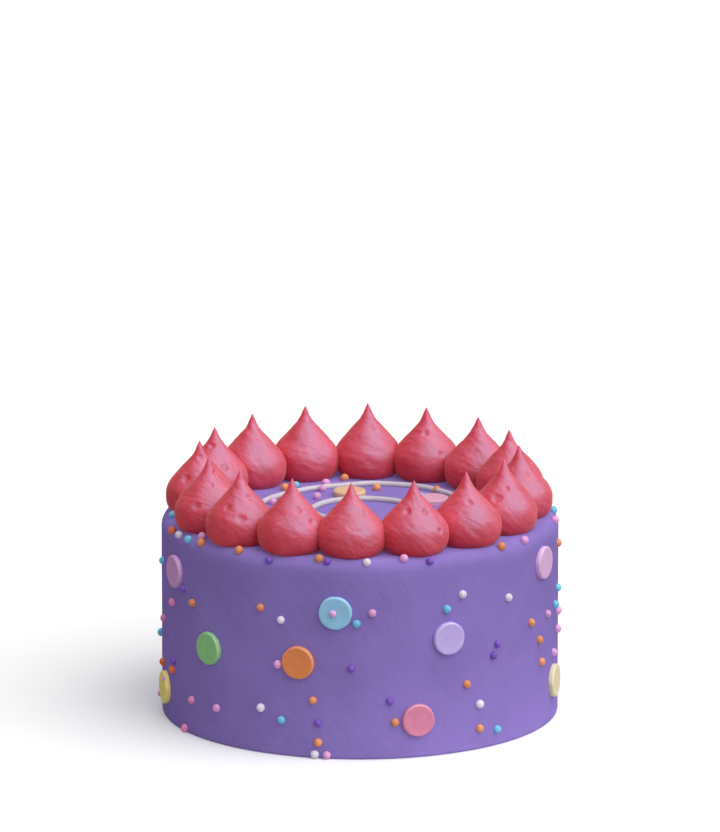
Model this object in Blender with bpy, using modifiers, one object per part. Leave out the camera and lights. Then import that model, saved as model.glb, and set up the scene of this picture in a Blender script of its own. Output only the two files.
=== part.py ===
"""A round sprinkle cake: smooth icing with sugar pearls and a piped swirl, a ring of piped kisses, and discs.

The cake stands on z = 0 with its axis on Z and its front along -Y. Lengths are in metres.
An azimuth is in degrees from the front, growing towards +X. A climb is the distance up the icing from
its bottom edge: up the wall, over the rounded rim, then in along the top towards the axis.
"""

import math
import random

import bmesh
import bpy
from mathutils import Vector

MM = 0.001
GAP = 0.3 * MM  # left between two pieces that touch

CAKE_RADIUS = 100 * MM
CAKE_HEIGHT = 102 * MM
RIM_ROUND = 6.5 * MM
FOOT_ROUND = 0.8 * MM
CAKE_STEPS = 72
RIM_STEPS = 5

KISS_STEPS = 14
KISS_DROOP = 0.5  # how much of the drop of the rim under it a kiss follows
KISS_DROOP_HEIGHT = 8 * MM  # and up to what height
KISS_LEAN = 0.3 * MM  # the most that a tip stands off its foot, each way
KISS_UNEVEN = 0.012
# The outline of a kiss: the share of its height, and the radius there.
KISS_OUTLINE = (
    (0.0, 13.4), (0.035, 14.8), (0.08, 16.0), (0.15, 16.9), (0.25, 17.2), (0.34, 16.7), (0.42, 15.3), (0.51, 12.8),
    (0.60, 9.8), (0.69, 6.8), (0.77, 4.3), (0.85, 2.5), (0.93, 1.25), (1.0, 0.0),
)
KISS_RINGS = (0.0, 0.085, 0.24, 0.37, 0.48, 0.59, 0.70, 0.81, 0.91)
KISS_FOOT_RING = 11.5 * MM
# The azimuth of each kiss, and how far its middle is from the axis and its height in millimetres.
KISSES = (
    (-3, 82.3, 35.4), (19, 82.3, 35.7), (41, 81, 35.9), (63.5, 80.3, 36.1), (86, 80.3, 35.5),
    (108.5, 79.8, 35.9), (131, 79.8, 36), (154.5, 79, 36.4), (177, 78.5, 37), (201, 78.3, 36.7), (223.5, 79.3, 36.4),
    (247, 80, 36), (268, 81, 35.9), (293.5, 82.5, 36.2), (314.5, 83.5, 35.8), (336, 83, 36.3),
)

DISC_RADIUS = 8.3 * MM
DISC_PRESSED = 2 * MM  # how thick a disc stands on the wall, where it is pressed in
DISC_LYING = 2.4 * MM  # and on the top
DISC_EDGE = 0.7 * MM
DISC_STEPS = 16
# Each disc that shows: its azimuth, its climb in millimetres and its colour.
SEEN_DISCS = (
    (-67, 81, "lilac"), (-48.5, 48.5, "green"), (-17.8, 49, "orange"), (-7, 75.5, "blue"),
    (26, 60, "lavender"), (16.7, 19.5, "coral"), (66, 86, "pink"), (76, 20.5, "yellow"), (-77, 16.5, "yellow"),
    (-171, 165, "peach"), (117.5, 158, "pink"),
)
# The discs with a pearl on them, by number, and how far it is across and up from the disc's middle.
DISC_PEARLS = {4: (-1, 0)}

PEARL_RADIUS = 2.2 * MM  # a pearl of 20 flat sides, as large as a ball 4 mm across
PEARL_LIFT = 0.3 * MM  # the height of its middle above the wall
PEARL_RESTING = 1.3 * MM  # and above the flat top
PEARL_ON_DISC = 0.2 * MM  # and above the face of a disc on the wall
PEARL_TURN = 90  # radians a metre from the origin
# Each pearl that shows: its azimuth and its climb in millimetres. The last ones of a row lie on the top.
SEEN_PEARLS = {
    "orange": (
        (-71.5, 100), (-53.5, 101), (-38, 102), (-12, 102.5), (46, 101.5), (82.5, 89), (-56.5, 69), (-29.5, 75),
        (-80.5, 28), (-69.5, 29), (58.5, 58), (63.5, 47), (65, 35), (32, 35), (-13.5, 30), (-12, 8.5), (10, 19),
        (36.5, 11), (-139, 141), (169, 155), (135, 144), (-173, 135),
    ),
    "white": ((-66, 100), (2, 101), (-23, 70), (30.5, 81.5), (47.5, 75), (-29.5, 23.5), (36.5, 23.5), (-13, 2.2)),
    "cyan": (
        (-60, 100), (-83, 104.5), (92, 102), (-81, 80.5), (-90, 39), (-1, 70), (25.5, 75), (82, 66), (78, 59),
        (-23, 18.5), (43, 8.5), (-146, 141),
    ),
    "pink": (
        (-55.5, 104), (13, 102.5), (56.5, 101), (83, 100.5), (-69.5, 64), (-79, 51.5), (-24, 47), (3.5, 75.5),
        (69.5, 58), (82.5, 54), (82, 44.5), (76, 35), (-57, 18.5), (-45.5, 18.5), (-61, 2.2), (-9.5, 2.2), (-88, 8),
        (-162, 143), (-155, 154), (-139, 166), (-108, 153),
    ),
    "violet": (
        (-27, 99.5), (-9.5, 101), (20.5, 100), (-62, 74), (-68.5, 34), (-2.5, 47), (43, 52.5), (41.5, 47), (8.5, 30),
        (-12, 18.5),
    ),
}
HIDDEN_SIDE = (108, 252)  # the azimuths that the first view doesn't reach
HIDDEN_DISCS = 8
HIDDEN_WALL_PEARLS = 52
HIDDEN_TOP_PEARLS = 6
HIDING_WIDTH = 9 * MM  # how far to each side a front kiss hides the top behind it
HIDING_DEPTH = 12 * MM
SEED = 16

LINE_RADIUS = 1.5 * MM
LINE_LIFT = 1.1 * MM
LINE_SPACING = 6.5 * MM
# The piped swirl: the azimuth as it turns, and the reach from the axis in millimetres.
SWIRL = (
    (80, 25), (120, 25), (170, 21.5), (230, 21.5), (275, 24.5), (314, 24.5), (379, 35), (440, 50), (483, 55),
    (530, 53), (555, 49), (590, 49), (615, 51), (645, 50),
)

WALL_TOP = CAKE_HEIGHT - RIM_ROUND
FLAT_RADIUS = CAKE_RADIUS - RIM_ROUND
RIM_LENGTH = math.pi / 2 * RIM_ROUND
AXIS_CLIMB = WALL_TOP + RIM_LENGTH + FLAT_RADIUS

ICING = (0.27, 0.20, 0.56)
KISS_PINK = (0.62, 0.09, 0.15)
DISC_COLOURS = {
    "lilac": (0.60, 0.38, 0.63), "green": (0.20, 0.47, 0.20), "orange": (0.74, 0.28, 0.08),
    "blue": (0.29, 0.56, 0.71), "lavender": (0.48, 0.36, 0.69), "coral": (0.71, 0.20, 0.28),
    "yellow": (0.79, 0.62, 0.30), "peach": (0.80, 0.48, 0.27), "pink": (0.80, 0.35, 0.44),
}


def clear_scene():
    for obj in list(bpy.data.objects):
        bpy.data.objects.remove(obj, do_unlink=True)


def new_collection(name):
    collection = bpy.data.collections.new(name)
    bpy.context.scene.collection.children.link(collection)
    return collection


def new_object(name, data, collection):
    obj = bpy.data.objects.new(name, data)
    collection.objects.link(obj)
    return obj


def new_material(name, colour, roughness):
    material = bpy.data.materials.new(name)
    material.use_nodes = True
    surface = material.node_tree.nodes["Principled BSDF"]
    surface.inputs["Base Color"].default_value = (*colour, 1)
    surface.inputs["Roughness"].default_value = roughness
    surface.inputs["Metallic"].default_value = 0
    return material


def applied(obj, name, collection):
    """A plain mesh object with the shape that OBJ has after its modifiers. OBJ is removed."""
    bpy.context.view_layer.update()
    graph = bpy.context.evaluated_depsgraph_get()
    mesh = bpy.data.meshes.new_from_object(obj.evaluated_get(graph))
    mesh.name = name
    matrix = obj.matrix_world.copy()
    bpy.data.objects.remove(obj, do_unlink=True)
    plain = new_object(name, mesh, collection)
    plain.matrix_world = matrix
    return plain


def through(points, x):
    """The height at X of a smooth curve through POINTS, which are (x, y) pairs in order of x."""
    last = len(points) - 1
    at = min(max(sum(px <= x for px, _ in points) - 1, 0), last - 1)

    def slope(i):
        before, after = points[max(i - 1, 0)], points[min(i + 1, last)]
        return (after[1] - before[1]) / (after[0] - before[0])

    (x0, y0), (x1, y1) = points[at], points[at + 1]
    width = x1 - x0
    t = (x - x0) / width
    rise = y0 * (1 + 2 * t) * (1 - t) ** 2 + y1 * t * t * (3 - 2 * t)
    return rise + width * (slope(at) * t * (1 - t) ** 2 - slope(at + 1) * t * t * (1 - t))


def outwards(azimuth):
    angle = math.radians(azimuth)
    return Vector((math.sin(angle), -math.cos(angle), 0))


def on_icing(azimuth, climb, lift=0.0):
    """The place LIFT above the icing, the direction straight out of it, and how far that leans back from level."""
    if climb <= WALL_TOP:
        lean, reach, height = 0.0, CAKE_RADIUS, climb
    elif climb <= WALL_TOP + RIM_LENGTH:
        lean = (climb - WALL_TOP) / RIM_ROUND
        reach = FLAT_RADIUS + RIM_ROUND * math.cos(lean)
        height = WALL_TOP + RIM_ROUND * math.sin(lean)
    else:
        lean, reach, height = math.pi / 2, AXIS_CLIMB - climb, CAKE_HEIGHT
    side = outwards(azimuth)
    normal = side * math.cos(lean) + Vector((0, 0, math.sin(lean)))
    return side * reach + Vector((0, 0, height)) + normal * lift, normal, lean


def rim_drop(reach):
    """How far the icing is below the flat top at this distance from the axis."""
    past = min(max(reach - FLAT_RADIUS, 0), 0.95 * RIM_ROUND)
    return RIM_ROUND - math.sqrt(RIM_ROUND**2 - past**2)


def turned(name, outline, steps, collection):
    """A closed solid turned about Z from OUTLINE, which runs down its outer side from the axis to the axis."""
    mesh = bpy.data.meshes.new(name)
    mesh.from_pydata([(r, 0, z) for r, z in outline], [(i, i + 1) for i in range(len(outline) - 1)], [])
    profile = new_object(name + "_profile", mesh, collection)
    screw = profile.modifiers.new("Screw", "SCREW")
    screw.steps = screw.render_steps = steps
    screw.use_merge_vertices = True
    screw.merge_threshold = 0.01 * MM
    return applied(profile, name, collection)


def arc(middle_r, middle_z, radius, start, end, steps):
    """Points along an arc of the outline, from START to END degrees above level."""
    angles = [math.radians(start + (end - start) * i / steps) for i in range(steps + 1)]
    return [(middle_r + radius * math.cos(a), middle_z + radius * math.sin(a)) for a in angles]


def cake_body(collection):
    outline = [(0, CAKE_HEIGHT)]
    outline += arc(FLAT_RADIUS, WALL_TOP, RIM_ROUND, 90, 0, RIM_STEPS)
    outline += arc(CAKE_RADIUS - FOOT_ROUND, FOOT_ROUND, FOOT_ROUND, 0, -90, 2)
    outline += [(0, 0)]
    return turned("cake", outline, CAKE_STEPS, collection)


def pearl(place, collection):
    """A pearl as a rough ball, each turned its own way."""
    shape = bmesh.new()
    bmesh.ops.create_icosphere(shape, subdivisions=1, radius=PEARL_RADIUS)
    mesh = bpy.data.meshes.new("pearl")
    shape.to_mesh(mesh)
    shape.free()
    obj = new_object("pearl", mesh, collection)
    obj.location = place
    obj.rotation_euler = tuple(place * PEARL_TURN)
    return obj


def piped_swirl(collection):
    """The line piped on the top, as a mesh."""
    turns = [SWIRL[0][0]]
    while turns[-1] < SWIRL[-1][0]:
        turns.append(turns[-1] + math.degrees(LINE_SPACING / (through(SWIRL, turns[-1]) * MM)))
    curve = bpy.data.curves.new("swirl", "CURVE")
    curve.dimensions = "3D"
    curve.bevel_depth = LINE_RADIUS
    curve.bevel_resolution = 1
    curve.use_fill_caps = True
    line = curve.splines.new("POLY")
    line.points.add(len(turns) - 1)
    for point, turn in zip(line.points, turns):
        place = outwards(turn) * through(SWIRL, turn) * MM
        point.co = (place.x, place.y, CAKE_HEIGHT + LINE_LIFT, 1)
    swirl = applied(new_object("swirl_path", curve, collection), "swirl", collection)
    shape = bmesh.new()
    shape.from_mesh(swirl.data)
    bmesh.ops.remove_doubles(shape, verts=shape.verts, dist=0.01 * MM)
    shape.to_mesh(swirl.data)
    shape.free()
    return swirl


def fuse(obj, toppings):
    """OBJ joined to all the objects of the collection TOPPINGS, which are then removed."""
    name, home = obj.name, obj.users_collection[0]
    union = obj.modifiers.new("Toppings", "BOOLEAN")
    union.operation = "UNION"
    union.operand_type = "COLLECTION"
    union.collection = toppings
    joined = applied(obj, name, home)
    joined.name = name
    for topping in list(toppings.objects):
        bpy.data.objects.remove(topping, do_unlink=True)
    bpy.data.collections.remove(toppings)
    return joined


def kiss_middles():
    return [outwards(azimuth) * reach * MM for azimuth, reach, _ in KISSES]


def kiss_radius(share):
    return through(KISS_OUTLINE, share) * MM


def pressed(place, middle, neighbours):
    """PLACE held back at the upright planes halfway to the neighbours, where the kisses press together."""
    for other in neighbours:
        across = other - middle
        room = across.length / 2 - GAP / 2
        across.normalize()
        past = (place - middle).dot(across) - room
        if past > 0:
            place = place - across * past
    return place


def settled(place, height):
    """PLACE, level with the ground, raised to HEIGHT up a kiss whose foot follows the rim under it."""
    droop = KISS_DROOP * rim_drop(place.xy.length) * max(0, 1 - height / KISS_DROOP_HEIGHT)
    return place + Vector((0, 0, CAKE_HEIGHT + GAP + height - droop))


def piped_kiss(name, index, collection, dice):
    """One kiss: a turned drop with a drawn-out tip, pressed against the next ones, its foot on the icing."""
    outline = [(0, 1.0)] + [(kiss_radius(share), share) for share in reversed(KISS_RINGS)]
    outline += [(KISS_FOOT_RING, 0), (0, 0)]
    tall = KISSES[index][2] * MM
    outline = [(r, share * tall) for r, share in outline]
    kiss = turned(name, outline, KISS_STEPS, collection)
    middles = kiss_middles()
    middle = middles[index]
    neighbours = (middles[index - 1], middles[(index + 1) % len(middles)])
    lean = Vector([dice.uniform(-KISS_LEAN, KISS_LEAN) for _ in range(2)] + [0])
    phases = [dice.uniform(0, 2 * math.pi) for _ in range(2)]
    for vertex in kiss.data.vertices:
        x, y, height = vertex.co
        angle = math.atan2(y, x)
        swell = 1 + KISS_UNEVEN * (math.sin(2 * angle + phases[0]) + math.sin(3 * angle + phases[1]) / 2)
        place = middle + Vector((x, y, 0)) * swell + lean * (height / tall) ** 2
        vertex.co = settled(pressed(place, middle, neighbours), height)
    return kiss


def clear_of_kisses(ball, radius):
    """Whether a ball at BALL stays clear of the foot and belly of every kiss."""
    level = Vector((ball.x, ball.y, 0))
    for middle, (_, _, tall) in zip(kiss_middles(), KISSES):
        away = (level - middle).normalized()
        for share in (0, 0.03, 0.06, 0.1, 0.15, 0.2, 0.25):
            side = middle + away * kiss_radius(share) * (1 + 2 * KISS_UNEVEN)
            if (settled(side, share * tall * MM) - ball).length < radius + GAP:
                return False
    return True


def disc_mesh(thick):
    shape = bmesh.new()
    bmesh.ops.create_cone(
        shape, cap_ends=True, segments=DISC_STEPS, radius1=DISC_RADIUS, radius2=DISC_RADIUS, depth=thick
    )
    bmesh.ops.translate(shape, verts=shape.verts, vec=(0, 0, thick / 2))
    top = [edge for edge in shape.edges if all(v.co.z > thick / 2 for v in edge.verts)]
    bmesh.ops.bevel(shape, geom=top, offset=DISC_EDGE, segments=1, affect="EDGES")
    mesh = bpy.data.meshes.new("disc")
    shape.to_mesh(mesh)
    shape.free()
    mesh.shade_smooth()
    mesh.set_sharp_from_angle(angle=math.radians(35))
    return mesh


def sugar_disc(name, azimuth, climb, collection):
    """One disc lying flat on the icing, its Z straight out of it and its Y up the wall."""
    place, normal, lean = on_icing(azimuth, climb, GAP)
    disc = new_object(name, disc_mesh(DISC_LYING if lean > 0 else DISC_PRESSED), collection)
    disc.location = place
    disc.rotation_euler = (math.pi / 2 - lean, 0, math.radians(azimuth))
    return disc


def spread(count, tries, draw, allowed, taken):
    """COUNT more places: each is the farthest from all TAKEN of a few that DRAW gives and ALLOWED passes."""
    made = []
    while len(made) < count:
        drawn = [place for place in (draw() for _ in range(tries)) if allowed(on_icing(*place)[0])]
        if drawn:
            best = max(drawn, key=lambda place: min((on_icing(*place)[0] - other).length for other in taken))
            taken.append(on_icing(*best)[0])
            made.append(best)
    return made


def behind_front_kiss(place):
    """Whether a place on the top is hidden by a kiss from the front."""
    hides = [abs(place.x - middle.x) < HIDING_WIDTH for middle in kiss_middles() if middle.y < -FLAT_RADIUS / 2]
    return place.y < -HIDING_DEPTH and any(hides)


def hidden_toppings():
    """The discs and pearls on the sides that don't show, each as its azimuth and climb, spread evenly."""
    dice = random.Random(SEED)
    discs = [on_icing(azimuth, climb * MM)[0] for azimuth, climb, _ in SEEN_DISCS]
    pearls = [on_icing(azimuth, climb * MM)[0] for row in SEEN_PEARLS.values() for azimuth, climb in row]

    def beside_discs(place):
        return all((place - disc).length > DISC_RADIUS + 2 * PEARL_RADIUS for disc in discs)

    def disc_place():
        return dice.uniform(*HIDDEN_SIDE), dice.uniform(2, 10.5) * DISC_RADIUS

    def wall_place():
        return dice.uniform(*HIDDEN_SIDE), dice.uniform(PEARL_RADIUS, CAKE_HEIGHT)

    def top_place():
        return dice.uniform(-70, 70), AXIS_CLIMB - dice.uniform(HIDING_DEPTH, 5 * HIDING_DEPTH)

    new_discs = spread(HIDDEN_DISCS, 40, disc_place, lambda place: True, discs)
    new_pearls = spread(HIDDEN_WALL_PEARLS, 5, wall_place, beside_discs, pearls)
    new_pearls += spread(HIDDEN_TOP_PEARLS, 20, top_place, behind_front_kiss, pearls)
    return new_discs, new_pearls


def pearl_places(hidden):
    """Where the middle of each pearl on the icing is, apart from any that would reach into a kiss."""
    seen = [(azimuth, climb * MM) for row in SEEN_PEARLS.values() for azimuth, climb in row]
    places = []
    for azimuth, climb in seen + hidden:
        lean = on_icing(azimuth, climb)[2]
        lift = PEARL_LIFT + (PEARL_RESTING - PEARL_LIFT) * lean / (math.pi / 2)
        places.append(on_icing(azimuth, climb, lift)[0])
    return [place for place in places if clear_of_kisses(place, PEARL_RADIUS)]


def iced_cake(collection, pearls):
    """The body of the cake with the pearls and the piped line fused to it."""
    toppings = new_collection("toppings")
    for place in pearls:
        pearl(place, toppings)
    piped_swirl(toppings)
    return fuse(cake_body(collection), toppings)


def pearled(disc, across, up):
    """DISC with one pearl fused to its face."""
    bpy.context.view_layer.update()
    toppings = new_collection("pearl_on_disc")
    pearl(disc.matrix_world @ Vector((across, up, DISC_PRESSED + PEARL_ON_DISC)), toppings)
    return fuse(disc, toppings)


def build():
    clear_scene()
    parts = new_collection("sprinkle_cake")
    hidden_discs, hidden_pearls = hidden_toppings()

    cake = iced_cake(parts, pearl_places(hidden_pearls))
    cake.data.materials.append(new_material("icing", ICING, 0.45))

    dice = random.Random(SEED)
    for index in range(len(KISSES)):
        kiss = piped_kiss(f"kiss_{index + 1:02d}", index, parts, dice)
        kiss.data.materials.append(new_material(f"{kiss.name}_icing", KISS_PINK, 0.35))
        kiss.data.shade_smooth()

    discs = [(azimuth, climb * MM, colour) for azimuth, climb, colour in SEEN_DISCS]
    discs += [(*place, colour) for place, colour in zip(hidden_discs, DISC_COLOURS)]
    for number, (azimuth, climb, colour) in enumerate(discs, 1):
        disc = sugar_disc(f"disc_{number:02d}", azimuth, climb, parts)
        if number in DISC_PEARLS:
            across, up = DISC_PEARLS[number]
            disc = pearled(disc, across * MM, up * MM)
        disc.data.materials.append(new_material(f"{disc.name}_sugar", DISC_COLOURS[colour], 0.5))


build()
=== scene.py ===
"""A round sprinkle cake: smooth icing, a ring of piped kisses, sugar discs, sugar pearls and a piped swirl.

The cake stands on z = 0 with its axis on Z and its front along -Y. Lengths are in metres.
An azimuth is in degrees from the front, growing towards +X. A climb is the distance up the icing from
its bottom edge: up the wall, over the rounded rim, then in along the top towards the axis.
"""

import math
import random

import bpy
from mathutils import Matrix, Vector


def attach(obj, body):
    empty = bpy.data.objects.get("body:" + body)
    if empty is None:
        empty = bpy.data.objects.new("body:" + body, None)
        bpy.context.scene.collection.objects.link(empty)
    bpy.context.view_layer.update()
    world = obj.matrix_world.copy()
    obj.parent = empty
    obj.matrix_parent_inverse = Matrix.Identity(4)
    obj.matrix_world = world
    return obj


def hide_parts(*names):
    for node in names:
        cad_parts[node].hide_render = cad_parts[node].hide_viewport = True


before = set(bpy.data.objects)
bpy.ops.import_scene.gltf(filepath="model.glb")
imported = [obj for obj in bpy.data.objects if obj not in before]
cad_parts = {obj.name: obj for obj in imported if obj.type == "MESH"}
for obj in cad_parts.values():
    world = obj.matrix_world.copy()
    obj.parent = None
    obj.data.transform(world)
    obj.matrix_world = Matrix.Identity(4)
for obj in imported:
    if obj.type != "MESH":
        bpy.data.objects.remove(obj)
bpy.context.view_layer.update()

MM = 0.001
TAU = 2 * math.pi

CAKE_RADIUS = 100 * MM
CAKE_HEIGHT = 102 * MM
RIM_ROUND = 6.5 * MM
FOOT_ROUND = 0.8 * MM
WALL_TOP = CAKE_HEIGHT - RIM_ROUND
FLAT_RADIUS = CAKE_RADIUS - RIM_ROUND
RIM_LENGTH = math.pi / 2 * RIM_ROUND
RIM_STEEPEST = 0.95 * RIM_ROUND  # how far out over the rim a kiss still follows it down
AXIS_CLIMB = WALL_TOP + RIM_LENGTH + FLAT_RADIUS
UP = Vector((0, 0, 1))

KISS_WIDEST = 20 * MM  # the radius that the outline's curve has as 1
KISS_DROOP = 0.5  # how much of the drop of the rim under it a kiss follows
KISS_DROOP_HEIGHT = 8 * MM  # and up to what height
KISS_LEAN = 0.3 * MM  # the most that a tip stands off its foot, each way
KISS_UNEVEN = 0.012  # how far it is from round, as a share of its radius
KISS_SUNK = 0.2 * MM  # how far its foot reaches into the icing
KISS_TIP = 0.5 * MM  # how much higher than the plain outline a tip is drawn, its foot being sunk
KISS_FOOT_LEVELS = (0, 0.03, 0.06, 0.1, 0.15, 0.2, 0.25)  # the shares of its height that a pearl can touch
KISS_PARTING = 0.02 * MM  # how far a kiss stays back from the plane between it and the next
STRAND_DEPTH = 0.42 * MM  # of the strands that the icing of a kiss is drawn into
FOLDS_PER_STRAND = 2.8  # how much deeper the folds are than the strands
DENT_DEPTH = 0.36  # as a share of the dent's radius
DENT_WANDER = 2.4 * MM  # how uneven the edge of a dent is
GAP = 0.3 * MM  # the clearance that the solid model keeps between its parts
# The outline of a kiss: the share of its height, and the radius there in millimetres.
KISS_OUTLINE = (
    (0.0, 13.4), (0.035, 14.8), (0.08, 16.0), (0.15, 16.9), (0.25, 17.2), (0.34, 16.7), (0.42, 15.3),
    (0.51, 12.8), (0.60, 9.8), (0.69, 6.8), (0.77, 4.3), (0.85, 2.5), (0.93, 1.25), (1.0, 0.0),
)
# The azimuth of each kiss, and how far its middle is from the axis and its height in millimetres.
KISSES = (
    (-3, 82.3, 35.4), (19, 82.3, 35.7), (41, 81, 35.9), (63.5, 80.3, 36.1), (86, 80.3, 35.5),
    (108.5, 79.8, 35.9), (131, 79.8, 36), (154.5, 79, 36.4), (177, 78.5, 37), (201, 78.3, 36.7),
    (223.5, 79.3, 36.4), (247, 80, 36), (268, 81, 35.9), (293.5, 82.5, 36.2), (314.5, 83.5, 35.8),
    (336, 83, 36.3),
)
# The dents in each kiss: the turn from its front, the share of its height, and the radius in millimetres.
DENTS = (
    ((48, 0.62, 1.6), (150, 0.45, 2.2)),
    ((-20, 0.62, 2.3), (38, 0.615, 2.3), (52, 0.36, 2.3), (170, 0.5, 2.0)),
    ((10, 0.625, 2.2), (-140, 0.5, 2.2)),
    ((10, 0.64, 2.0), (-18, 0.53, 3.2), (160, 0.4, 2.2)),
    ((28, 0.64, 2.2), (140, 0.5, 2.4)),
    ((70, 0.55, 2.2), (170, 0.6, 1.8)),
    ((150, 0.45, 2.2), (-160, 0.6, 1.8)),
    ((-4, 0.68, 2.2), (28, 0.42, 2.2), (-170, 0.5, 2.4)),
    ((22, 0.69, 2.0), (-70, 0.69, 1.6), (160, 0.42, 2.3)),
    ((-150, 0.5, 2.2),),
    ((170, 0.6, 2.0), (-140, 0.4, 2.4)),
    ((-16, 0.76, 1.9), (26, 0.51, 2.8), (-120, 0.5, 2.2)),
    ((8, 0.79, 1.8), (-32, 0.53, 2.8), (-150, 0.6, 2.0)),
    ((60, 0.80, 2.2), (-22, 0.41, 2.8), (12, 0.66, 1.5), (-120, 0.5, 2.2)),
    ((-32, 0.55, 2.2), (2, 0.425, 3.2), (38, 0.665, 2.2), (-130, 0.4, 2.2)),
    ((20, 0.62, 2.0), (44, 0.46, 2.4), (-150, 0.55, 2.0)),
)

DISC_RADIUS = 8.3 * MM
DISC_PRESSED = 2 * MM  # how thick a disc stands on the wall, where it is pressed in
DISC_LYING = 2.4 * MM  # and on the top
DISC_SUNK = 0.6 * MM  # how far its back reaches into the icing
DISC_EDGE = 0.95 * MM  # how round its edge is
DISC_DISH = 0.12 * MM  # how hollow its face is
# Each disc that shows: its azimuth, its climb in millimetres and its colour.
SEEN_DISCS = (
    (-67, 81, "lilac"), (-48.5, 48.5, "green"), (-17.8, 49, "orange"), (-7, 75.5, "blue"),
    (26, 60, "lavender"), (16.7, 19.5, "coral"), (66, 86, "pink"), (76, 20.5, "yellow"),
    (-77, 16.5, "yellow"), (-171, 165, "peach"), (117.5, 158, "pink"),
)
# The pearls on discs: the disc's number, the pearl's colour, how far it is across and up from the disc's
# middle in millimetres, and the share that its radius has of a whole pearl's.
DISC_PEARLS = (
    (4, "pink", -1, 0, 0.8), (9, "pink", 5, 5.6, 0.45), (11, "cyan", 6.3, 3.2, 0.45),
    (11, "cyan", 7.1, 2.0, 0.3),
)
DISC_COLOURS = {
    "lilac": (0.62, 0.30, 0.63), "green": (0.27, 0.58, 0.24), "orange": (0.79, 0.24, 0.07),
    "blue": (0.28, 0.57, 0.80), "lavender": (0.51, 0.39, 0.79), "coral": (0.69, 0.20, 0.34),
    "yellow": (0.73, 0.64, 0.39), "peach": (0.69, 0.42, 0.25), "pink": (0.69, 0.32, 0.46),
    "mauve": (0.72, 0.42, 0.70), "honey": (0.95, 0.76, 0.21),
}
# The discs drawn in another colour than that of their kind, by number. Disc 9, a yellow one, is drawn
# brighter.
DISC_TINTS = {7: "mauve", 9: "honey"}

PEARL_RADIUS = 2.08 * MM
PEARL_ROUGH_RADIUS = 2.2 * MM  # that of the flat sided pearls of the solid model
PEARL_LIFT = 0.3 * MM  # the height of its middle above the wall
PEARL_RESTING = 1.3 * MM  # and above the flat top
PEARL_ON_DISC = 0.2 * MM  # and above the face of a disc
# Each pearl that shows: its azimuth and its climb in millimetres. Past a climb of 106 it lies on the top.
SEEN_PEARLS = {
    "orange": (
        (-53.5, 101), (-38, 102), (-12, 102.5), (46, 101.5), (82.5, 89), (-56.5, 69), (-29.5, 75),
        (58.5, 58), (63.5, 47), (65, 35), (32, 35), (-13.5, 30), (-12, 8.5), (10, 19),
        (36.5, 11), (-139, 141), (169, 155), (135, 144), (-173, 135),
    ),
    "white": (
        (-66, 100), (2, 101), (-23, 70), (30.5, 81.5), (47.5, 75), (-29.5, 23.5), (36.5, 23.5), (-13, 2.2),
    ),
    "cyan": (
        (-60, 100), (-83, 104.5), (92, 102), (-81, 80.5), (-90, 39), (-1, 70), (25.5, 75), (82, 66), (78, 59),
        (-23, 18.5), (43, 8.5), (-146, 141),
    ),
    "pink": (
        (-55.5, 104), (13, 102.5), (56.5, 101), (83, 100.5), (-24, 47), (3.5, 75.5),
        (69.5, 58), (82.5, 54), (82, 44.5), (76, 35), (-45.5, 18.5), (-9.5, 2.2), (-88, 8),
        (-162, 143), (-155, 154), (-139, 166), (-108, 153),
    ),
    "violet": (
        (-27, 99.5), (-9.5, 101), (20.5, 100), (-62, 74), (-68.5, 34), (-2.5, 47), (43, 52.5), (41.5, 47),
        (8.5, 30), (-12, 18.5),
    ),
    # The last two rows are orange and pink pearls on the shaded left of the wall, drawn in darker, deeper
    # colours: painted shade.
    "rust": ((-71.5, 100), (-80.5, 28), (-69.5, 29)),
    "rose": ((-69.5, 64), (-79, 51.5), (-57, 18.5), (-61, 2.2)),
}
PEARL_COLOURS = {
    "orange": (0.79, 0.30, 0.13), "white": (0.77, 0.71, 0.82), "cyan": (0.19, 0.58, 0.82),
    # The last two colours are orange and pink made darker and deeper for the pearls on the shaded left:
    # painted shade.
    "pink": (0.78, 0.37, 0.68), "violet": (0.20, 0.08, 0.50), "rust": (0.84, 0.17, 0.075),
    "rose": (0.80, 0.25, 0.50),
}
PEARL_SIZES = {"violet": 0.92}  # the colours whose pearls are smaller, and the share they have of the radius
HIDDEN_SIDE = (108, 252)  # the azimuths that the first view doesn't reach
HIDDEN_DISCS = 8
HIDDEN_WALL_PEARLS = 52
HIDDEN_TOP_PEARLS = 6
HIDDEN_PEARL_COLOURS = ("orange", "pink", "cyan", "violet", "pink", "white", "orange")
HIDING_WIDTH = 9 * MM  # how far to each side a front kiss hides the top behind it
HIDING_DEPTH = 12 * MM  # how far from the middle the hidden part of the top begins
SEED = 16

LINE_RADIUS = 1.5 * MM
LINE_LIFT = 1.1 * MM  # the height of its middle above the top
LINE_SPACING = 3 * MM  # between the places that its path is laid through
LINE_STEP = 0.7 * MM  # between the rings of its tube
LINE_ROUGH = 0.3 * MM  # how uneven its surface is
# The piped swirl: the azimuth as it turns, and the reach from the axis in millimetres.
SWIRL = (
    (80, 25), (120, 25), (170, 21.5), (230, 21.5), (275, 24.5), (314, 24.5), (379, 35), (440, 50), (483, 55),
    (530, 53), (555, 49), (590, 49), (615, 51), (645, 50),
)

ICING = (0.28, 0.197, 0.56)
KISS_PINK = (0.69, 0.036, 0.054)
PIPED_WHITE = (0.57, 0.52, 0.56)

SEAM = 0.002 * MM  # points closer than this are made one

FLOOR_REACH = 40  # how far the floor goes each way, past all that the first view shows
REFLECTOR_RADIUS = 0.2
REFLECTOR_DROP = 0.2 * MM  # how far the reflector is below the floor
REFLECTOR_GREY = 0.34
SKY_STRENGTH = 0.395
CAMERA_PLACE = (0, -5.0, 1.3801)
CAMERA_DIP = 13.806  # how far it looks down, in degrees
CAMERA_LENS = 443.1  # in millimetres, as the sensor's width
CAMERA_SENSOR = 36
CAMERA_REACH = 200


# Node trees

def is_vector(x):
    return isinstance(x, Vector) or isinstance(x, Value) and x.socket.type == "VECTOR"


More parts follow.
